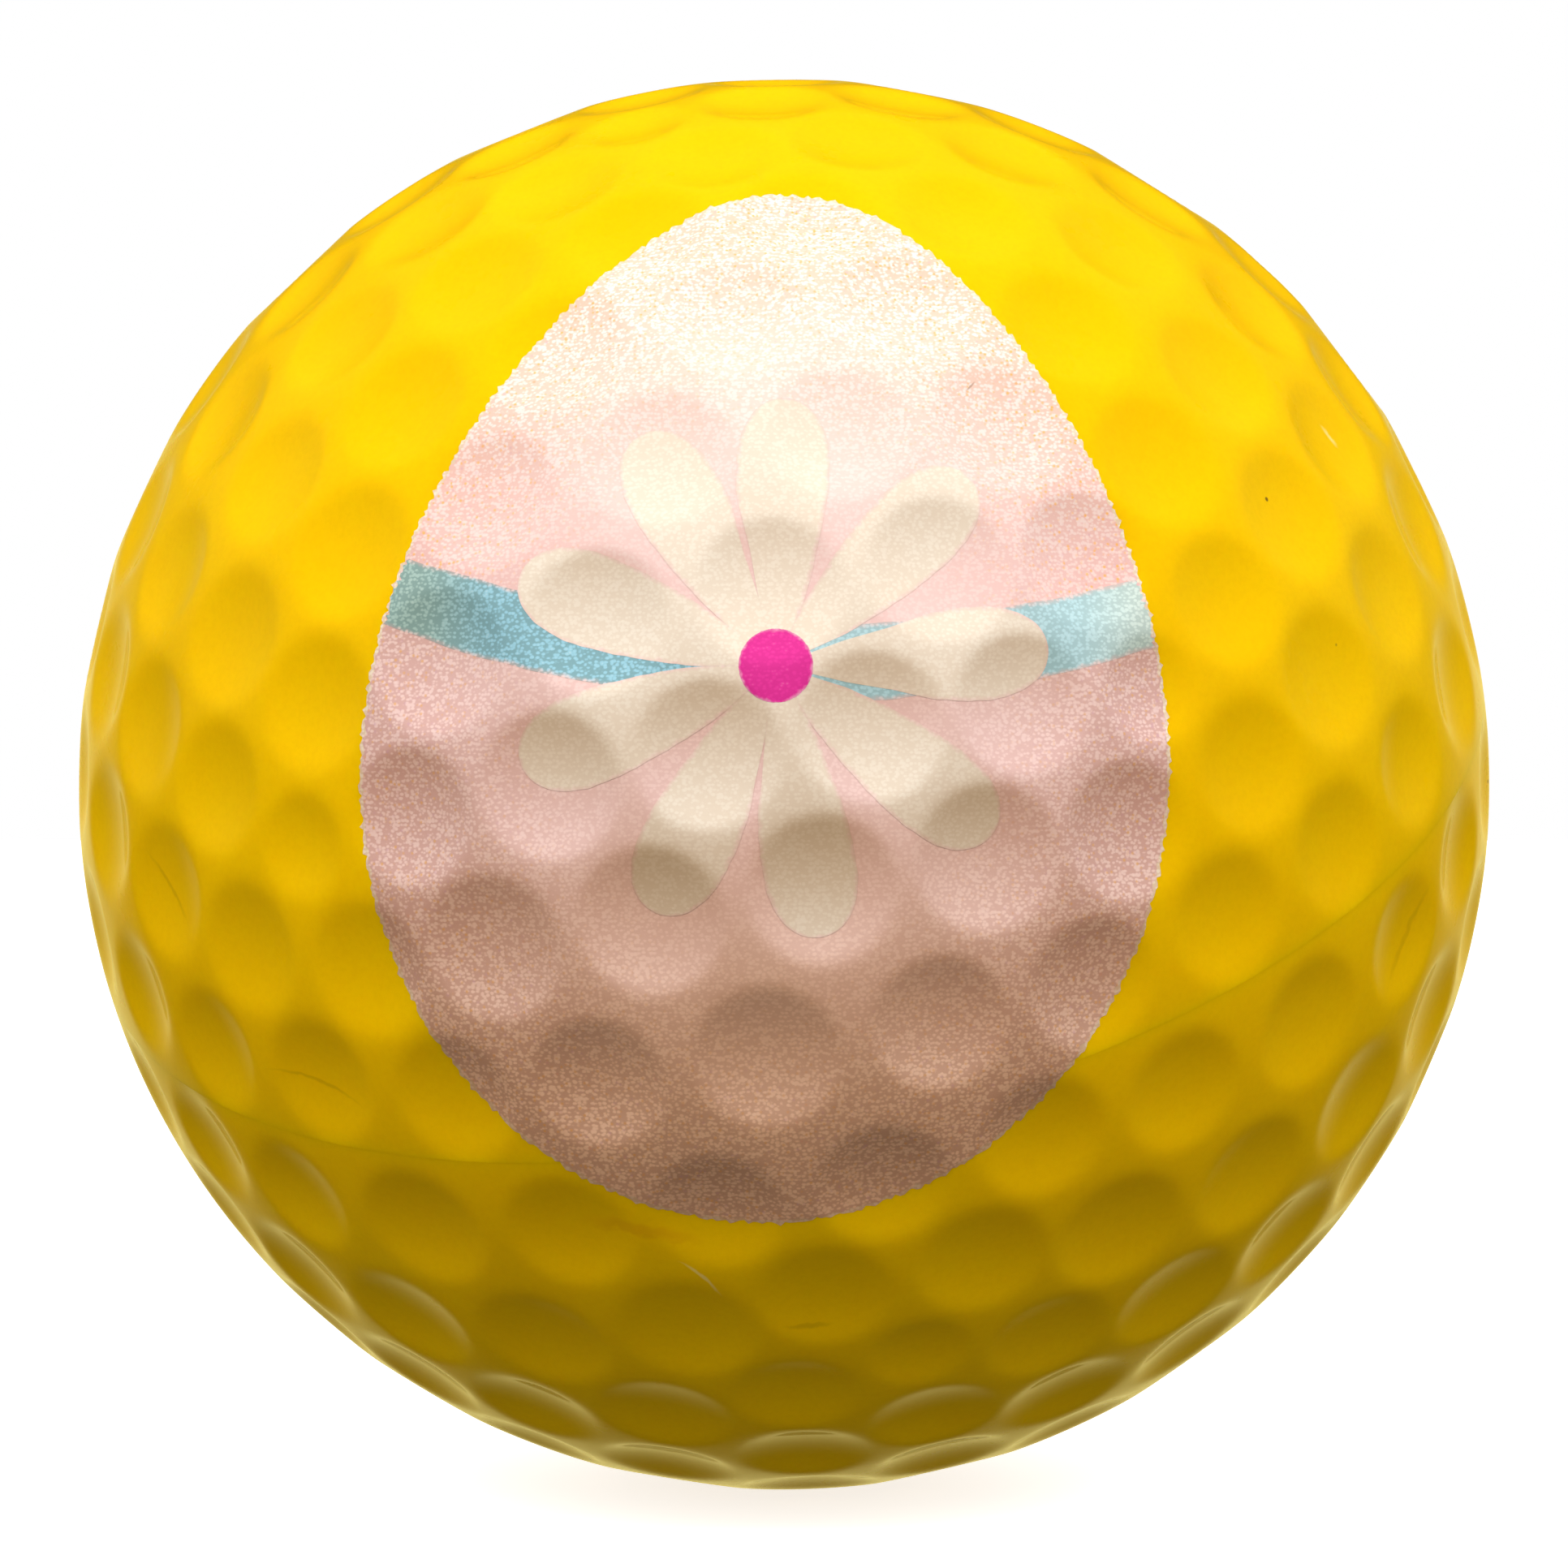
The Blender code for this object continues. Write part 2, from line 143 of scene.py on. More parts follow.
# Print grain and the pink that the shapes stand on
PINK = (0.88, 0.62, 0.56)
GRAIN_SCALE = 10500.0
ROW_PITCH = 0.000118

# Painted shade: upward part of a surface's direction where the ink starts to darken and warm, and
# where it is fully darkened and warm
PAINTED_SHADE_RANGE = (0.30, -0.45)

# Heights of the ink layers over the cover
BASE_HEIGHT = 0.000005
FIELD_HEIGHT = 0.000011
RIBBON_HEIGHT = 0.000015
PETAL_HEIGHT = 0.000019
SPOT_HEIGHT = 0.000023
INK_THICKNESS = 0.000002
SOFT_EDGE = 0.00032

# Rounds that settle where a film lies, and where the ribbon meets the egg's edge
RADIUS_ROUNDS = 3
HALVINGS = 30

# Small marks of use on the cover's printed side: colour, centre (x, z), lean in
# degrees, half length, half width, sag of the ends, strength
DARK_MARK = (0.42, 0.22, 0.002)
PALE_MARK = (1.00, 0.78, 0.30)
STAIN = (0.74, 0.30, 0.004)
BLEMISHES = (
    (DARK_MARK, (-0.01272, -0.00803), -18.0, 0.00150, 0.00006, 0.00026, 0.32),
    (DARK_MARK, (-0.01708, -0.00285), -57.0, 0.00115, 0.00006, 0.00008, 0.32),
    (DARK_MARK, (0.00065, -0.01468), 5.0, 0.00070, 0.00010, 0.00000, 0.35),
    (DARK_MARK, (0.01747, -0.00419), 66.0, 0.00160, 0.00009, 0.00010, 0.25),
    (PALE_MARK, (-0.00218, -0.01319), -42.0, 0.00075, 0.00005, 0.00010, 0.45),
    (PALE_MARK, (0.01537, 0.00981), -50.0, 0.00040, 0.00006, 0.00000, 0.60),
    (STAIN, (-0.00379, -0.01188), -10.0, 0.00165, 0.00022, 0.00005, 0.35),
)
PRINT_NICK = ((0.40, 0.22, 0.14), (0.00494, 0.01055), 48.0, 0.00020, 0.00004, 0.0, 0.7)

# Studio light: a white dome above, dim below, and a warm card behind the ball that
# only reflections see
DOME_HIGH = 1.07
DOME_LOW = 0.195
KEY_POWER = 0.77
REFLECTED_CARD = (1.0, 0.85, 0.30)
REFLECTED_WHITE = 1.10
REFLECTED_TOP = 0.02
DOME_EDGE = (-0.05, 0.22)
CARD_BEHIND = (0.55, 0.93)
CARD_FADE = (0.02, 0.36)
KEY_PLACE = (0.0, -0.20, 0.24)
KEY_SIZE = (0.50, 0.14)

# Camera
CAMERA_DISTANCE = 6.21 * BALL_RADIUS
BALL_SHARE_OF_FRAME = 0.900
SENSOR_WIDTH = 36.0
FLOOR_HALF_SIZE = 1.5


# ---------------------------------------------------------------- mesh tools

def mesh_object(name, points, faces, material):
    """A smooth-shaded object in the scene, with one material."""
    mesh = bpy.data.meshes.new(name)
    mesh.from_pydata(np.asarray(points).tolist(), [], faces)
    mesh.polygons.foreach_set("use_smooth", [True] * len(mesh.polygons))
    mesh.update()
    mesh.materials.append(material)
    obj = bpy.data.objects.new(name, mesh)
    bpy.context.scene.collection.objects.link(obj)
    return obj


def grid_faces(rows, columns, first=0, flip=False):
    """Quads of a grid of points stored row by row."""
    index = np.arange(rows * columns).reshape(rows, columns) + first
    quads = np.stack([index[:-1, :-1], index[1:, :-1], index[1:, 1:], index[:-1, 1:]], -1)
    quads = quads.reshape(-1, 4)
    if flip:
        quads = quads[:, ::-1]
    return quads.tolist()


def border(rows, columns):
    """Indices once around the edge of a grid."""
    index = np.arange(rows * columns).reshape(rows, columns)
    return np.concatenate([index[:-1, 0], index[-1, :-1], index[:0:-1, -1], index[0, :0:-1]])


def disc_grid(count):
    """A square grid bent onto the unit disc: radius and turn of every point."""
    side = np.linspace(-1.0, 1.0, count + 1)
    a, b = np.meshgrid(side, side, indexing="ij")
    wide = np.abs(a) >= np.abs(b)
    safe_a = np.where(a == 0.0, 1.0, a)
    safe_b = np.where(b == 0.0, 1.0, b)
    radius = np.where(wide, a, b)
    turn = np.where(wide, 0.25 * np.pi * b / safe_a, 0.5 * np.pi - 0.25 * np.pi * a / safe_b)
    middle = (a == 0.0) & (b == 0.0)
    turn = np.where(middle, 0.0, turn)
    turn = np.where(radius < 0.0, turn + np.pi, turn)
    return np.abs(radius), turn


# ------------------------------------------------------------ dimple pattern

def directions(polar, turn):
    """Unit directions from the angle off the pole and the turn about it."""
    flat = np.sin(polar)
    return np.stack([flat * np.cos(turn), flat * np.sin(turn), np.cos(polar)], -1)


def icosahedron():
    ring = math.atan(0.5)
    points = [(0.0, 0.0, 1.0)]
    for sign, shift in ((1.0, 0.0), (-1.0, 0.5)):
        for k in range(5):
            turn = 2.0 * math.pi * (k + shift) / 5.0
            points.append((math.cos(ring) * math.cos(turn), math.cos(ring) * math.sin(turn),
                           sign * math.sin(ring)))
    points.append((0.0, 0.0, -1.0))
    faces = []
    for k in range(5):
        n = (k + 1) % 5
        faces.append((0, 1 + k, 1 + n))
        faces.append((1 + k, 6 + k, 1 + n))
        faces.append((6 + k, 6 + n, 1 + n))
        faces.append((11, 6 + n, 6 + k))
    return np.array(points), faces


def half_lattice():
    """Dimple centres of the upper half, and which of them are the small ones."""
    corners, faces = icosahedron()
    centres = []
    small = []
    for face in faces:
        for i in range(LATTICE_STEPS + 1):
            for j in range(LATTICE_STEPS + 1 - i):
                shares = np.array((i, j, LATTICE_STEPS - i - j))
                if shares @ corners[list(face)][:, 2] < 1e-3:
                    continue
                weights = np.sin(LATTICE_SPREAD * shares / LATTICE_STEPS)
                point = weights @ corners[list(face)]
                point /= np.linalg.norm(point)
                if any(np.linalg.norm(point - other) < 1e-4 for other in centres):
                    continue
                centres.append(point)
                small.append(LATTICE_STEPS in shares)
    centres = np.array(centres)
    polar = np.arccos(np.clip(centres[:, 2], -1.0, 1.0))
    turn = np.arctan2(centres[:, 1], centres[:, 0])
    polar *= (0.5 * np.pi - FIRST_ROW_ANGLE) / polar.max()
    return directions(polar, turn), np.array(small)


def other_half(points):
    """The half turn that carries the upper half of the pattern to the lower."""
    turn = math.radians(36.0) + HALF_STEP_TWIST
    x, y, z = points[..., 0], points[..., 1], points[..., 2]
    return np.stack([math.cos(turn) * x + math.sin(turn) * y,
                     math.sin(turn) * x - math.cos(turn) * y, -z], -1)


def dimple_table():
    """Centre, rim angle and depth of every dimple, before the pattern is turned."""
    upper, small = half_lattice()
    centres = np.concatenate([upper, other_half(upper)])
    small = np.concatenate([small, small])
    dots = centres @ centres.T
    np.fill_diagonal(dots, -1.0)
    nearest = np.arccos(dots.max(1))
    angles = np.minimum(DIMPLE_ANGLE, 0.5 * (nearest - DIMPLE_CLEARANCE))
    first_row = np.abs(centres[:, 2]) < math.sin(1.2 * FIRST_ROW_ANGLE)
    angles = np.where(first_row, np.minimum(angles, FIRST_ROW_DIMPLE_ANGLE), angles)
    depths = DIMPLE_DEPTH * angles / DIMPLE_ANGLE
    angles = np.where(small, SMALL_DIMPLE_ANGLE, angles)
    depths = np.where(small, SMALL_DIMPLE_DEPTH, depths)
    return centres, angles, depths


def pattern_turn():
    """How the moulded pattern is turned when the print is put on the ball."""
    def about_z(angle):
        c, s = math.cos(angle), math.sin(angle)
        return np.array([[c, -s, 0.0], [s, c, 0.0], [0.0, 0.0, 1.0]])
    c, s = math.cos(POLE_TILT), math.sin(POLE_TILT)
    about_y = np.array([[c, 0.0, s], [0.0, 1.0, 0.0], [-s, 0.0, c]])
    return about_z(POLE_AZIMUTH) @ about_y @ about_z(POLE_SPIN)


TURN = pattern_turn()
CENTRES, ANGLES, DEPTHS = dimple_table()
CENTRES = CENTRES @ TURN.T


def surface_radius(normals):
    """Radius of the dimpled surface along unit directions in the row frame."""
    flat = normals.reshape(-1, 3)
    radius = np.empty(len(flat))
    for start in range(0, len(flat), DIRECTIONS_AT_ONCE):
        part = flat[start:start + DIRECTIONS_AT_ONCE]
        share = np.arccos(np.clip(part @ CENTRES.T, -1.0, 1.0)) / ANGLES
        bowl = np.maximum(1.0 - share ** 2, BOWL_FLOOR * RIM_SOFTNESS)
        bowl = RIM_SOFTNESS * np.log1p(np.exp(bowl / RIM_SOFTNESS))
        radius[start:start + len(part)] = BALL_RADIUS - bowl @ DEPTHS
    return radius.reshape(normals.shape[:-1])


# -------------------------------------------------------------- cover, core

def cover_half(name, lower, material):
    """A closed half shell: dimpled outside, flat parting face, smooth inside."""
    share, turn = disc_grid(COVER_GRID)
    lift = PARTING_GAP / BALL_RADIUS
    polar = np.arccos(1.0 - (1.0 - lift) * share ** 2)
    normals = directions(polar, turn)
    if lower:
        normals = other_half(normals)
    normals = normals @ TURN.T
    outside = normals * surface_radius(normals)[..., None]
    side = COVER_GRID + 1
    points = [outside.reshape(-1, 3)]
    faces = grid_faces(side, side)
    loop = border(side, side)
    count = side * side
    edge_turn = turn.reshape(-1)[loop]
    previous = loop
    inner = BALL_RADIUS - COVER_THICKNESS
    for ring in range(INNER_RINGS):
        ring_polar = (0.5 * np.pi - PARTING_GAP / inner) * (1.0 - ring / INNER_RINGS)
        spots = directions(np.full(len(loop), ring_polar), edge_turn) * inner
        if lower:
            spots = other_half(spots)
        points.append(spots @ TURN.T)
        current = np.arange(count, count + len(loop))
        count += len(loop)
        ahead = np.roll(previous, -1)
        current_ahead = np.roll(current, -1)
        faces += np.stack([previous, current, current_ahead, ahead], -1).tolist()
        previous = current
    pole = np.array([[0.0, 0.0, inner]])
    if lower:
        pole = other_half(pole)
    points.append(pole @ TURN.T)
    ahead = np.roll(previous, -1)
    faces += [[int(a), count, int(b)] for a, b in zip(previous, ahead)]
    obj = mesh_object(name, np.concatenate(points), faces, material)
    recalculate_outside(obj)
    return obj


def recalculate_outside(obj):
    """Turn faces outward and keep edges sharper than the crease angle crisp."""
    work = bmesh.new()
    work.from_mesh(obj.data)
    bmesh.ops.recalc_face_normals(work, faces=work.faces)
    for edge in work.edges:
        edge.smooth = edge.calc_face_angle(0.0) < EDGE_CREASE
    work.to_mesh(obj.data)
    work.free()


def core_ball(name, material):
    """The ground rubber core, with the flash line its two mould halves left."""
    radius = 0.5 * (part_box("core")[1][0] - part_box("core")[0][0])
    share, turn = disc_grid(CORE_GRID)
    polar = np.arccos(1.0 - share ** 2)
    normals = directions(polar, turn).reshape(-1, 3)
    side = CORE_GRID + 1
    both = np.concatenate([normals, normals * (1.0, 1.0, -1.0)])
    flash = FLASH_HEIGHT * np.exp(-(both[:, 2] / FLASH_WIDTH) ** 2)
    grind = np.sin(both[:, 0] * 211.0) * np.sin(both[:, 1] * 173.0 + both[:, 2] * 97.0)
    points = both * (radius - CORE_SINK + flash + GRIND_DEPTH * grind)[:, None]
    faces = grid_faces(side, side) + grid_faces(side, side, side * side, True)
    obj = mesh_object(name, points @ TURN.T, faces, material)
    work = bmesh.new()
    work.from_mesh(obj.data)
    bmesh.ops.remove_doubles(work, verts=work.verts, dist=CORE_WELD)
    bmesh.ops.recalc_face_normals(work, faces=work.faces)
    work.to_mesh(obj.data)
    work.free()
    return obj


# ---------------------------------------------------------------- ink films

def ragged(turns, amount, coarse, seed):
    """A jagged edge: smooth waves plus fine teeth, periodic in the turn."""
    rng = np.random.default_rng(seed)
    total = np.zeros_like(turns)
    for k in range(5):
        waves = int(coarse * 1.55 ** k)
        total += np.sin(waves * turns + rng.uniform(0.0, 6.28)) / (1.0 + 0.1 * k)
    return amount * total / 2.0


def egg_radius(turns, grow=0.0):
    """Distance from the flower's centre to the egg outline at each turn."""
    around = np.linspace(0.0, 2.0 * np.pi, 1441)
    rise = np.sin(around)
    width = (EGG_HALF_WIDTH + grow) * (1.0 + EGG_TAPER * rise + EGG_WAIST * rise ** 2)
    x = width * np.cos(around)
    z = (EGG_HALF_HEIGHT + grow) * rise
    ex = EGG_CENTRE[0] + x * math.cos(EGG_LEAN) - z * math.sin(EGG_LEAN) - FLOWER_CENTRE[0]
    ez = EGG_CENTRE[1] + x * math.sin(EGG_LEAN) + z * math.cos(EGG_LEAN) - FLOWER_CENTRE[1]
    seen = np.unwrap(np.arctan2(ez, ex))
    reach = np.hypot(ex, ez)
    wrapped = seen[0] + np.mod(turns - seen[0], 2.0 * np.pi)
    return np.interp(wrapped, seen, reach)


def ink_film(name, flat, height, material, inside=None):
    """A thin closed film over the dimples; flat is a grid of (x, z) spots.

    Where inside is given, the first UV coordinate runs from 0 on the shape's
    edge to 1 well inside it.
    """
    x, z = flat[..., 0], flat[..., 1]
    radius = BALL_RADIUS
    for _ in range(RADIUS_ROUNDS):
        y = -np.sqrt(np.maximum(radius ** 2 - x ** 2 - z ** 2, 1e-9))
        normals = np.stack([x, y, z], -1)
        normals /= np.linalg.norm(normals, axis=-1)[..., None]
        radius = surface_radius(normals)
    radius = radius[..., None]
    rows, columns = x.shape
    top = (normals * (radius + height + INK_THICKNESS)).reshape(-1, 3)
    bottom = (normals * (radius + height)).reshape(-1, 3)
    count = rows * columns
    faces = grid_faces(rows, columns) + grid_faces(rows, columns, count, True)
    loop = border(rows, columns)
    ahead = np.roll(loop, -1)
    faces += np.stack([ahead, loop, loop + count, ahead + count], -1).tolist()
    obj = mesh_object(name, np.concatenate([top, bottom]), faces, material)
    if inside is not None:
        depth = np.clip(np.broadcast_to(inside, x.shape).reshape(-1) / SOFT_EDGE, 0.0, 1.0)
        depth = np.tile(depth, 2)
        corners = np.empty(len(obj.data.loops), dtype=np.int32)
        obj.data.loops.foreach_get("vertex_index", corners)
        layer = obj.data.uv_layers.new(name="edge")
        layer.data.foreach_set("uv", np.stack([depth[corners], 0.0 * corners], -1).ravel())
    recalculate_outside(obj)
    return obj


def polar_spots(centre, radius, turns):
    x = centre[0] + radius * np.cos(turns)
    z = centre[1] + radius * np.sin(turns)
    return np.stack([x, z], -1)


def egg_sheet():
    """Spots of the whole egg, out to its ragged edge."""
    share, turns = disc_grid(EGG_GRID)
    edge = egg_radius(turns) + ragged(turns, 0.00005, 140, 3) * share
    return polar_spots(FLOWER_CENTRE, share * edge, turns)


def field_sector(first, last, columns, rows, seed):
    """Spots of the egg between two turns about the flower, inside the pale fringe."""
    turns = np.linspace(first, last, columns)[:, None]
    share = np.linspace(0.03, 1.0, rows)[None, :]
    edge = egg_radius(turns, -FRINGE) + ragged(turns, 0.00004, 120, seed) * share ** 4
    return polar_spots(FLOWER_CENTRE, share * edge, turns + 0.0 * share)


def ribbon_z(x):
    """Height of the ribbon's middle line."""
    return RIBBON_MIDDLE_Z + RIBBON_SLOPE * x + RIBBON_SAG * x * x


def turn_to_ribbon(x):
    """Turn about the flower's centre at which the ribbon's middle line lies."""
    return math.atan2(ribbon_z(x) - FLOWER_CENTRE[1], x - FLOWER_CENTRE[0])


def ribbon_sheet(side, columns, rows):
    """The ribbon from under the flower out to the egg's edge on one side."""
    across = np.linspace(-1.0, 1.0, rows)[None, :]
    share = np.linspace(0.0, 1.0, columns)[:, None]
    offset = across * RIBBON_HALF_WIDTH
    start = side * RIBBON_START
    near = np.full(offset.shape, start)
    far = np.full(offset.shape, side * RIBBON_REACH)
    for _ in range(HALVINGS):
        middle = 0.5 * (near + far)
        dx = middle - FLOWER_CENTRE[0]
        dz = ribbon_z(middle) + offset - FLOWER_CENTRE[1]
        inside = np.hypot(dx, dz) < egg_radius(np.arctan2(dz, dx), -FRINGE)
        near = np.where(inside, middle, near)
        far = np.where(inside, far, middle)
    end = near + side * ragged(across * 1.3, 0.00006, 41, 5)
    x = start + share * (end - start)
    wobble = ragged(x * 190.0, 0.00002, 5, 8) * across
    inside = RIBBON_HALF_WIDTH * (1.0 - np.abs(across)) + 0.0 * share
    return np.stack([x, ribbon_z(x) + offset + wobble], -1), inside


def petal_angle(index):
    """Turn of a petal's middle line; the count runs on past a full turn."""
    turn, place = divmod(index, PETAL_COUNT)
    lean = math.radians(PETAL_LEAN[place])
    return PETAL_FIRST_ANGLE + 2.0 * math.pi * (place / PETAL_COUNT + turn) + lean


def petal_sheet(index, columns, rows):
    """Spots of a petal and how far each lies inside its outline."""
    turn = petal_angle(index)
    along = np.linspace(0.0, 1.0, columns)[:, None]
    along = PETAL_START + (PETAL_LENGTH - PETAL_START) * (1.0 - (1.0 - along) ** 1.6)
    t = np.minimum(along / PETAL_LENGTH, 0.9994)
    half = PETAL_WIDTH_FACTOR * t ** PETAL_TAPER * np.sqrt(1.0 - t ** 5)
    half = half * (1.0 + ragged(along * 800.0, 0.012, 3, 20 + index))
    share = np.linspace(-1.0, 1.0, rows)[None, :]
    side = PETAL_SIDE if index else FIRST_PETAL_SIDE
    left = side * (petal_angle(index + 1) - turn)
    right = side * (turn - petal_angle(index - 1))
    slit = PETAL_SLIT * np.clip((along - SLIT_START) / SLIT_LENGTH, 0.0, 1.0)
    limit = np.where(share > 0.0, math.tan(left), math.tan(right)) * along - slit
    across = share * np.minimum(half, limit)
    x = FLOWER_CENTRE[0] + along * math.cos(turn) - across * math.sin(turn)
    z = FLOWER_CENTRE[1] + along * math.sin(turn) + across * math.cos(turn)
    inside = np.minimum(half - np.abs(across), 1.3 * (PETAL_LENGTH - along))
    inside = np.minimum(inside, limit - np.abs(across) + 0.00024 - 2.0 * slit)
    return np.stack([x, z], -1), inside


def spot_sheet(count):
    """Spots of the flower's centre and how far each lies inside its edge."""
    share, turns = disc_grid(count)
    edge = FLOWER_CENTRE_RADIUS * (1.0 + ragged(turns, 0.005, 17, 31))
    return polar_spots(FLOWER_CENTRE, share * edge, turns), (1.0 - share) * edge


# ---------------------------------------------------------------- materials

class Nodes:
    """Short calls for building one material's node tree."""

    def __init__(self, name):
        self.material = bpy.data.materials.new(name)
        self.material.use_nodes = True
        self.tree = self.material.node_tree
        self.shader = self.tree.nodes["Principled BSDF"]
        self.place = self.tree.nodes.new("ShaderNodeTexCoord").outputs["Object"]

    def link(self, source, socket):
        self.tree.links.new(source, socket)

    def set(self, node, **values):
        for key, value in values.items():
            socket = node.inputs[key.replace("_", " ")]
            if isinstance(value, bpy.types.NodeSocket):
                self.link(value, socket)
            else:
                socket.default_value = value

    def noise(self, scale, detail=2.0, roughness=0.5):
        node = self.tree.nodes.new("ShaderNodeTexNoise")
        self.set(node, Vector=self.place, Scale=scale, Detail=detail, Roughness=roughness)
        return node.outputs["Fac"]

    def cells(self, scale, vector=None):
        """Distance to the nearest of a field of scattered points."""
        node = self.tree.nodes.new("ShaderNodeTexVoronoi")
        self.set(node, Vector=vector or self.place, Scale=scale)
        return node.outputs["Distance"]

    def ramp(self, source, low, high):
        """0 below low, 1 above high (or the reverse), smoothly."""
        node = self.tree.nodes.new("ShaderNodeMapRange")
        node.interpolation_type = "SMOOTHSTEP"
        start, end = (0.0, 1.0) if low < high else (1.0, 0.0)
        self.link(source, node.inputs["Value"])
        node.inputs["From Min"].default_value = min(low, high)
        node.inputs["From Max"].default_value = max(low, high)
        node.inputs["To Min"].default_value = start
        node.inputs["To Max"].default_value = end
        return node.outputs["Result"]

    def maths(self, operation, first, second=0.0, third=None):
        node = self.tree.nodes.new("ShaderNodeMath")
        node.operation = operation
        for socket, value in zip(node.inputs, (first, second, third)):
            if value is None:
                continue
            if isinstance(value, bpy.types.NodeSocket):
                self.link(value, socket)
            else:
                socket.default_value = value
        return node.outputs[0]

    def mix(self, share, first, second, blend="MIX"):
        node = self.tree.nodes.new("ShaderNodeMix")
        node.data_type = "RGBA"
        node.blend_type = blend
        sockets = (node.inputs["Factor"], node.inputs[6], node.inputs[7])
        for socket, value in zip(sockets, (share, first, second)):
            if isinstance(value, bpy.types.NodeSocket):
                self.link(value, socket)
            elif isinstance(value, tuple):
                socket.default_value = (*value, 1.0)
            else:
                socket.default_value = value
        return node.outputs[2]

    def axis(self, name):
        node = self.tree.nodes.new("ShaderNodeSeparateXYZ")
        self.link(self.place, node.inputs[0])
        return node.outputs[name]

    def bump(self, height, strength, distance):
        node = self.tree.nodes.new("ShaderNodeBump")
        self.link(height, node.inputs["Height"])
        node.inputs["Strength"].default_value = strength
        node.inputs["Distance"].default_value = distance
        self.link(node.outputs["Normal"], self.shader.inputs["Normal"])

    def colour(self, source):
        self.link(source, self.shader.inputs["Base Color"])


def cover_material(name, seed):
    """Glossy yellow moulded plastic with faint clouds, specks and fine wear."""
    n = Nodes(name)
    clouds = n.ramp(n.noise(90.0, 3.0), 0.35, 0.7)
    body = n.mix(clouds, (0.93, 0.525, 0.0002), (0.95, 0.555, 0.0003))
    mottle = n.ramp(n.noise(900.0, 4.0, 0.6), 0.3, 0.75)
    body = n.mix(n.maths("MULTIPLY", mottle, 0.08), body, (0.80, 0.42, 0.0002))
    near_speck = n.ramp(n.cells(520.0), 0.045, 0.02)
    specks = n.maths("MULTIPLY", near_speck, n.ramp(n.noise(70.0 + seed), 0.60, 0.63))
    body = n.mix(specks, body, (0.22, 0.11, 0.01))
    fine = n.ramp(n.noise(5200.0, 3.0, 0.7), 0.35, 0.70)
    body = n.mix(n.maths("MULTIPLY", fine, 0.14), body, (0.72, 0.37, 0.0002))
    for blemish in BLEMISHES:
        body = mark(n, body, *blemish)
    n.colour(body)
    rough = n.tree.nodes.new("ShaderNodeMapRange")
    n.link(n.noise(350.0, 5.0, 0.6), rough.inputs["Value"])
    rough.inputs["To Min"].default_value = 0.22
    rough.inputs["To Max"].default_value = 0.36
    n.link(rough.outputs["Result"], n.shader.inputs["Roughness"])
    n.set(n.shader, Coat_Weight=0.65, Coat_Roughness=0.06, Coat_IOR=1.19, IOR=1.45)
    n.shader.inputs["Specular IOR Level"].default_value = 0.02
    n.shader.inputs["Subsurface Weight"].default_value = 0.25
    n.shader.inputs["Subsurface Radius"].default_value = (1.0, 0.55, 0.05)
    n.shader.inputs["Subsurface Scale"].default_value = 0.0008
    n.bump(n.noise(1400.0, 4.0, 0.55), 0.12, 0.00002)
    return n.material


def core_material():
    """Ground vulcanised rubber: mottled, dull, with fine grinding marks."""
    n = Nodes("core_rubber_ground")
    mottle = n.noise(260.0, 6.0, 0.7)
    body = n.mix(mottle, (0.07, 0.18, 0.23), (0.14, 0.31, 0.37))
    crumbs = n.ramp(n.cells(1500.0), 0.12, 0.05)
    body = n.mix(n.maths("MULTIPLY", crumbs, 0.6), body, (0.30, 0.42, 0.45))
    n.colour(body)
    n.shader.inputs["Roughness"].default_value = 0.78
    n.bump(n.noise(2400.0, 5.0, 0.65), 0.5, 0.00003)
    return n.material


def painted_warm_shade(n, colour, tint):
    """Painted shade: darken and warm the ink on surfaces that face down, away from the light; the
    warm hue also stands for the cover showing through the ink.
    """
    split = n.tree.nodes.new("ShaderNodeSeparateXYZ")
    n.link(n.tree.nodes.new("ShaderNodeNewGeometry").outputs["Normal"], split.inputs[0])
    # Painted shade: how much of the tint is multiplied in, by how far the surface faces down
    share = n.ramp(split.outputs["Z"], *PAINTED_SHADE_RANGE)
    return n.mix(share, colour, tint, "MULTIPLY")


def mark(n, colour, ink, centre, lean, length, width, bend, strength):
    """A small blemish on the printed side: a bent streak with soft, ragged sides."""
    x = n.maths("SUBTRACT", n.axis("X"), centre[0])
    z = n.maths("SUBTRACT", n.axis("Z"), centre[1])
    c, s = math.cos(math.radians(lean)), math.sin(math.radians(lean))
    along = n.maths("MULTIPLY_ADD", x, c / length, n.maths("MULTIPLY", z, s / length))
    across = n.maths("MULTIPLY_ADD", z, c / width, n.maths("MULTIPLY", x, -s / width))
    across = n.maths("MULTIPLY_ADD", n.maths("MULTIPLY", along, along), bend / width, across)
    across = n.maths("ADD", across, n.maths("MULTIPLY_ADD", n.noise(2600.0, 2.0), 2.4, -1.2))
    square = n.maths("MULTIPLY", across, across)
    reach = n.maths("SQRT", n.maths("MULTIPLY_ADD", along, along, square))
    front = n.maths("LESS_THAN", n.axis("Y"), 0.0)
    share = n.maths("MULTIPLY", n.ramp(reach, 1.2, 0.3), n.maths("MULTIPLY", front, strength))
    return n.mix(share, colour, ink)


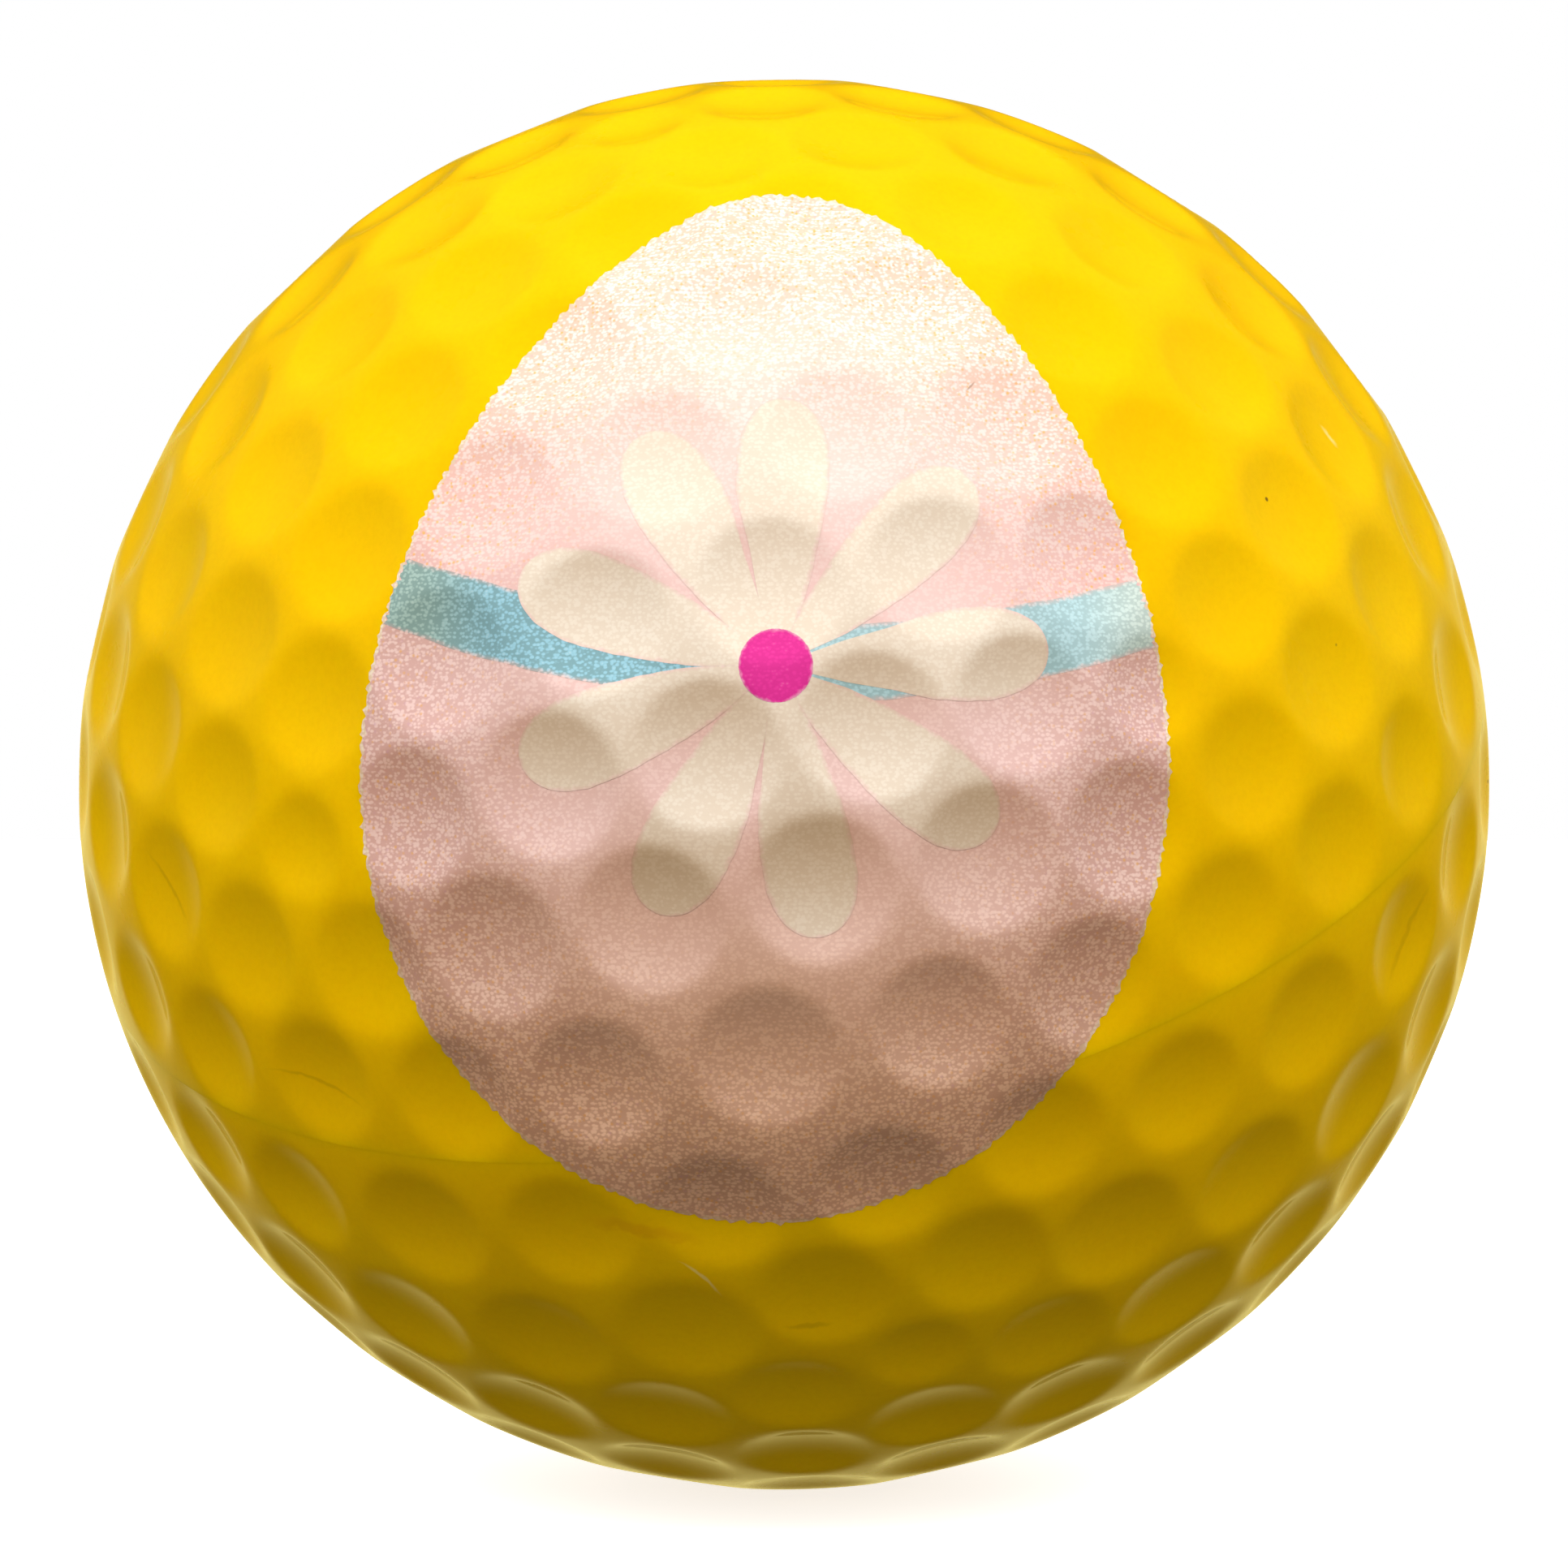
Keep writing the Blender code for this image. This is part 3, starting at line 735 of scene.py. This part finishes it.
def grain(n, amount):
    """Screen-print grain: light beads in rows with darker gaps between them."""
    stretched = n.tree.nodes.new("ShaderNodeMapping")
    n.link(n.place, stretched.inputs["Vector"])
    stretched.inputs["Scale"].default_value = (0.80, 1.0, 1.0)
    beads = n.cells(GRAIN_SCALE, vector=stretched.outputs[0])
    swell = n.noise(0.35 * GRAIN_SCALE, 2.0, 0.6)
    beads = n.maths("ADD", beads, n.maths("MULTIPLY", swell, 0.9))
    rows = n.maths("SINE", n.maths("MULTIPLY", n.axis("Z"), 2.0 * math.pi / ROW_PITCH))
    beads = n.maths("MULTIPLY_ADD", rows, 0.07, beads)
    gap = n.maths("MULTIPLY", n.ramp(beads, 0.74, 1.08), amount)
    top = n.maths("MULTIPLY", n.ramp(beads, 0.66, 0.40), amount)
    return gap, top


def soft_edge(n, colour, outside, reach, speckle=0.7):
    """Fade a printed shape into the ink around it, broken up by the grain."""
    uv = n.tree.nodes.new("ShaderNodeTexCoord").outputs["UV"]
    split = n.tree.nodes.new("ShaderNodeSeparateXYZ")
    n.link(uv, split.inputs[0])
    broken = n.maths("MULTIPLY_ADD", n.noise(5200.0, 2.0), speckle, split.outputs["X"])
    inside = n.ramp(broken, 0.5 * speckle - 0.12, 0.5 * speckle + reach)
    return n.mix(inside, outside, colour)


# tint is the colour of the painted shade, multiplied into the ink where its surface faces down
def ink_material(name, body, other, gap_colour, amount, tint, outside=None, reach=0.45,
                 where=None):
    """Printed ink: patchy, grainy, dry on the surface.

    The other colour comes in patches, or where the given function says.
    """
    n = Nodes(name)
    if where:
        patches = where(n)
    else:
        patches = n.maths("MULTIPLY", n.ramp(n.noise(420.0, 4.0, 0.6), 0.3, 0.7), 0.5)
    colour = n.mix(patches, body, other)
    if outside is not None:
        colour = soft_edge(n, colour, outside, reach)
    gap, top = grain(n, amount)
    colour = n.mix(gap, colour, gap_colour)
    lighter = n.mix(0.30, colour, (0.95, 0.90, 0.80))
    colour = n.mix(top, colour, lighter)
    # Painted shade: darken and warm the ink where its surface faces down, away from the light
    n.colour(painted_warm_shade(n, colour, tint))
    n.shader.inputs["Roughness"].default_value = 0.55
    n.shader.inputs["Specular IOR Level"].default_value = 0.2
    n.bump(n.noise(5200.0, 3.0, 0.6), 0.4, 0.000010)
    return n.material


def field_material(name, near_flower, far, gap_near, gap_far, fleck_colour, tone_end,
                   flecks, nick=None):
    """Pink halftone that changes tone away from the flower, busier at the edge."""
    n = Nodes(name)
    across = n.maths("DIVIDE", n.maths("SUBTRACT", n.axis("X"), EGG_CENTRE[0]), EGG_HALF_WIDTH)
    along = n.maths("DIVIDE", n.maths("SUBTRACT", n.axis("Z"), EGG_CENTRE[1]), EGG_HALF_HEIGHT)
    reach = n.maths("SQRT", n.maths("ADD", n.maths("MULTIPLY", across, across),
                                    n.maths("MULTIPLY", along, along)))
    edge = n.ramp(reach, 0.40, 1.0)
    tone = n.ramp(n.maths("ABSOLUTE", along), 0.12, tone_end)
    colour = n.mix(tone, near_flower, far)
    gap_colour = n.mix(tone, gap_near, gap_far)
    patches = n.ramp(n.noise(330.0, 4.0, 0.6), 0.3, 0.7)
    colour = n.mix(n.maths("MULTIPLY", patches, 0.12), colour, gap_colour)
    amount = n.maths("MULTIPLY_ADD", edge, 0.42, 0.24)
    gap, top = grain(n, amount)
    colour = n.mix(gap, colour, gap_colour)
    colour = n.mix(n.maths("MULTIPLY", top, 0.22), colour, (0.95, 0.86, 0.76))
    hue = n.tree.nodes.new("ShaderNodeTexVoronoi")
    n.set(hue, Vector=n.place, Scale=0.8 * GRAIN_SCALE)
    tint = n.tree.nodes.new("ShaderNodeSeparateColor")
    n.link(hue.outputs["Color"], tint.inputs[0])
    fleck = n.maths("MULTIPLY", n.ramp(hue.outputs["Distance"], 0.55, 0.10), edge)
    warm = n.maths("MULTIPLY", n.ramp(tint.outputs[0], 0.90 - flecks, 1.20 - flecks), fleck)
    cool = n.maths("MULTIPLY", n.ramp(tint.outputs[1], 0.74, 1.0), fleck)
    colour = n.mix(n.maths("MULTIPLY", warm, 0.85), colour, fleck_colour)
    colour = n.mix(n.maths("MULTIPLY", cool, 0.45), colour, (0.66, 0.36, 0.46))
    if nick:
        colour = mark(n, colour, *nick)
    # Painted shade: darken and warm the pink where its surface faces down, away from the light
    n.colour(painted_warm_shade(n, colour, (0.86, 0.70, 0.52)))
    n.shader.inputs["Roughness"].default_value = 0.6
    n.shader.inputs["Specular IOR Level"].default_value = 0.2
    n.bump(n.noise(4800.0, 3.0, 0.6), 0.5, 0.000012)
    return n.material


# -------------------------------------------------------------------- stage

def studio():
    """Plain white surroundings, a dome of soft light and one softbox."""
    scene = bpy.context.scene
    scene.view_settings.view_transform = "Standard"
    scene.view_settings.look = "None"
    world = bpy.data.worlds.new("studio")
    scene.world = world
    world.use_nodes = True
    tree = world.node_tree
    background = tree.nodes["Background"]
    place = tree.nodes.new("ShaderNodeTexCoord").outputs["Generated"]
    split = tree.nodes.new("ShaderNodeSeparateXYZ")
    tree.links.new(place, split.inputs[0])

    def blend(source, low, high, at_low, at_high):
        node = tree.nodes.new("ShaderNodeMapRange")
        node.interpolation_type = "SMOOTHSTEP"
        tree.links.new(source, node.inputs["Value"])
        node.inputs["From Min"].default_value = low
        node.inputs["From Max"].default_value = high
        node.inputs["To Min"].default_value = at_low
        node.inputs["To Max"].default_value = at_high
        return node.outputs["Result"]

    def choose(test, when_false, when_true):
        node = tree.nodes.new("ShaderNodeMix")
        tree.links.new(test, node.inputs["Factor"])
        for socket, value in ((node.inputs[2], when_false), (node.inputs[3], when_true)):
            if isinstance(value, float):
                socket.default_value = value
            else:
                tree.links.new(value, socket)
        return node.outputs[0]

    dome = blend(split.outputs["Z"], *DOME_EDGE, DOME_LOW, DOME_HIGH)
    behind = blend(split.outputs["Y"], *CARD_BEHIND, 0.0, 1.0)
    under = blend(split.outputs["Z"], *CARD_FADE, REFLECTED_WHITE, REFLECTED_TOP)
    seen = tree.nodes.new("ShaderNodeMath")
    seen.operation = "MULTIPLY"
    tree.links.new(behind, seen.inputs[0])
    tree.links.new(under, seen.inputs[1])
    path = tree.nodes.new("ShaderNodeLightPath")
    level = choose(path.outputs["Is Glossy Ray"], dome, seen.outputs[0])
    level = choose(path.outputs["Is Camera Ray"], level, 1.0)
    tree.links.new(level, background.inputs["Strength"])
    card = tree.nodes.new("ShaderNodeMix")
    card.data_type = "RGBA"
    tree.links.new(path.outputs["Is Glossy Ray"], card.inputs["Factor"])
    card.inputs[6].default_value = (1.0, 1.0, 1.0, 1.0)
    card.inputs[7].default_value = (*REFLECTED_CARD, 1.0)
    tree.links.new(card.outputs[2], background.inputs["Color"])

    area_light("softbox", KEY_PLACE, *KEY_SIZE, KEY_POWER)


def area_light(name, place, width, depth, power):
    data = bpy.data.lights.new(name, "AREA")
    data.shape = "RECTANGLE"
    data.size = width
    data.size_y = depth
    data.energy = power
    obj = bpy.data.objects.new(name, data)
    bpy.context.scene.collection.objects.link(obj)
    obj.location = place
    aim(obj, (0.0, 0.0, 0.0))
    obj.visible_camera = False
    obj.visible_glossy = False


def aim(obj, target):
    way = Vector(target) - Vector(obj.location)
    obj.rotation_euler = way.to_track_quat("-Z", "Y").to_euler()


def floor():
    """A pale floor at the ball's lowest point."""
    size = FLOOR_HALF_SIZE
    low = CAD_BOUNDS[0][2]
    material = bpy.data.materials.new("pale_floor")
    material.use_nodes = True
    shader = material.node_tree.nodes["Principled BSDF"]
    shader.inputs["Base Color"].default_value = (0.92, 0.92, 0.92, 1.0)
    shader.inputs["Roughness"].default_value = 0.9
    shader.inputs["Emission Color"].default_value = (1.0, 1.0, 1.0, 1.0)
    shader.inputs["Emission Strength"].default_value = 0.75
    points = [(-size, -size, low), (size, -size, low), (size, size, low), (-size, size, low)]
    obj = mesh_object("floor", points, [(0, 1, 2, 3)], material)
    obj.visible_diffuse = False
    obj.visible_glossy = False


def camera():
    """A level camera in front that frames the ball's outline."""
    data = bpy.data.cameras.new("camera")
    obj = bpy.data.objects.new("camera", data)
    bpy.context.scene.collection.objects.link(obj)
    obj.location = (0.0, -CAMERA_DISTANCE, 0.0)
    aim(obj, (0.0, 0.0, 0.0))
    ratio = CAMERA_DISTANCE / BALL_RADIUS
    limb = 1.0 / math.sqrt(ratio ** 2 - 1.0)
    data.sensor_width = SENSOR_WIDTH
    data.lens = 0.5 * data.sensor_width * BALL_SHARE_OF_FRAME / limb
    data.clip_start = 0.01
    bpy.context.scene.camera = obj


# ----------------------------------------------------------------- assembly

def place(piece, node):
    """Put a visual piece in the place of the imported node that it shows."""
    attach(piece, "root")
    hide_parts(node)


def main():
    camera()
    studio()
    floor()
    plastic = cover_material("yellow_cover_a", 0.0)
    place(cover_half("cover_upper_shell", False, plastic), "cover_upper")
    plastic = cover_material("yellow_cover_b", 9.0)
    place(cover_half("cover_lower_shell", True, plastic), "cover_lower")
    place(core_ball("core_ball", core_material()), "core")

    # The last colour, (0.78, 0.58, 0.42), is painted shade that darkens and warms the white base
    # where it faces down
    white = ink_material("white_ink_base", (0.90, 0.74, 0.56), (0.92, 0.80, 0.64),
                         (0.70, 0.44, 0.24), 0.5, (0.78, 0.58, 0.42))
    place(ink_film("base_ink", egg_sheet(), BASE_HEIGHT, white), "print_base")

    right = turn_to_ribbon(RIBBON_RIGHT_END)
    left = turn_to_ribbon(RIBBON_LEFT_END)
    pink = field_material("pink_ink_top", PINK, (0.95, 0.82, 0.74), (0.76, 0.40, 0.36),
                          (0.88, 0.44, 0.26), (0.95, 0.44, 0.04), 0.80, 0.36, PRINT_NICK)
    upper = field_sector(right, left, UPPER_FIELD_COLUMNS, FIELD_ROWS, 13)
    place(ink_film("upper_pink_ink", upper, FIELD_HEIGHT, pink), "field_upper")
    pink = field_material("pink_ink_bottom", PINK, (0.93, 0.63, 0.47), (0.62, 0.32, 0.27),
                          (0.56, 0.31, 0.22), (0.80, 0.42, 0.16), 0.90, 0.28)
    lower = field_sector(left, right + 2.0 * math.pi, LOWER_FIELD_COLUMNS, FIELD_ROWS, 17)
    place(ink_film("lower_pink_ink", lower, FIELD_HEIGHT, pink), "field_lower")

    def near_end(n):
        return n.ramp(n.maths("ABSOLUTE", n.axis("X")), *RIBBON_FADE)

    for side, tag, body, end in ((-1.0, "left", (0.33, 0.60, 0.69), (0.41, 0.56, 0.49)),
                                 (1.0, "right", (0.50, 0.70, 0.72), (0.68, 0.76, 0.67))):
        # (0.72, 0.74, 0.66) is painted shade that darkens the teal where it faces down
        teal = ink_material(f"teal_ink_{tag}_band", body, end, (0.14, 0.24, 0.22),
                            0.42 - 0.12 * side, (0.72, 0.74, 0.66), PINK, where=near_end)
        sheet, inside = ribbon_sheet(side, *RIBBON_GRID)
        film = ink_film(f"ribbon_{tag}_ink", sheet, RIBBON_HEIGHT, teal, inside)
        place(film, f"ribbon_{tag}")

    for index in range(PETAL_COUNT):
        # (0.72, 0.56, 0.39) is painted shade that darkens and warms the cream where it faces down
        cream = ink_material(f"cream_ink_petal_{index + 1}", (0.88, 0.75, 0.60), (0.89, 0.78, 0.64),
                             (0.68, 0.50, 0.34), 0.27, (0.72, 0.56, 0.39), PINK)
        sheet, inside = petal_sheet(index, *PETAL_GRID)
        film = ink_film(f"petal_{index + 1}_ink", sheet, PETAL_HEIGHT, cream, inside)
        place(film, f"petal_{index + 1}")

    # (0.80, 0.40, 0.70) is painted shade that darkens the magenta where it faces down
    magenta = ink_material("magenta_ink_spot", (0.80, 0.035, 0.31), (0.70, 0.020, 0.27),
                           (0.50, 0.004, 0.16), 0.20, (0.80, 0.40, 0.70),
                           (0.84, 0.36, 0.50), 0.25)
    sheet, inside = spot_sheet(SPOT_GRID)
    film = ink_film("flower_centre_ink", sheet, SPOT_HEIGHT, magenta, inside)
    place(film, "flower_centre")


main()
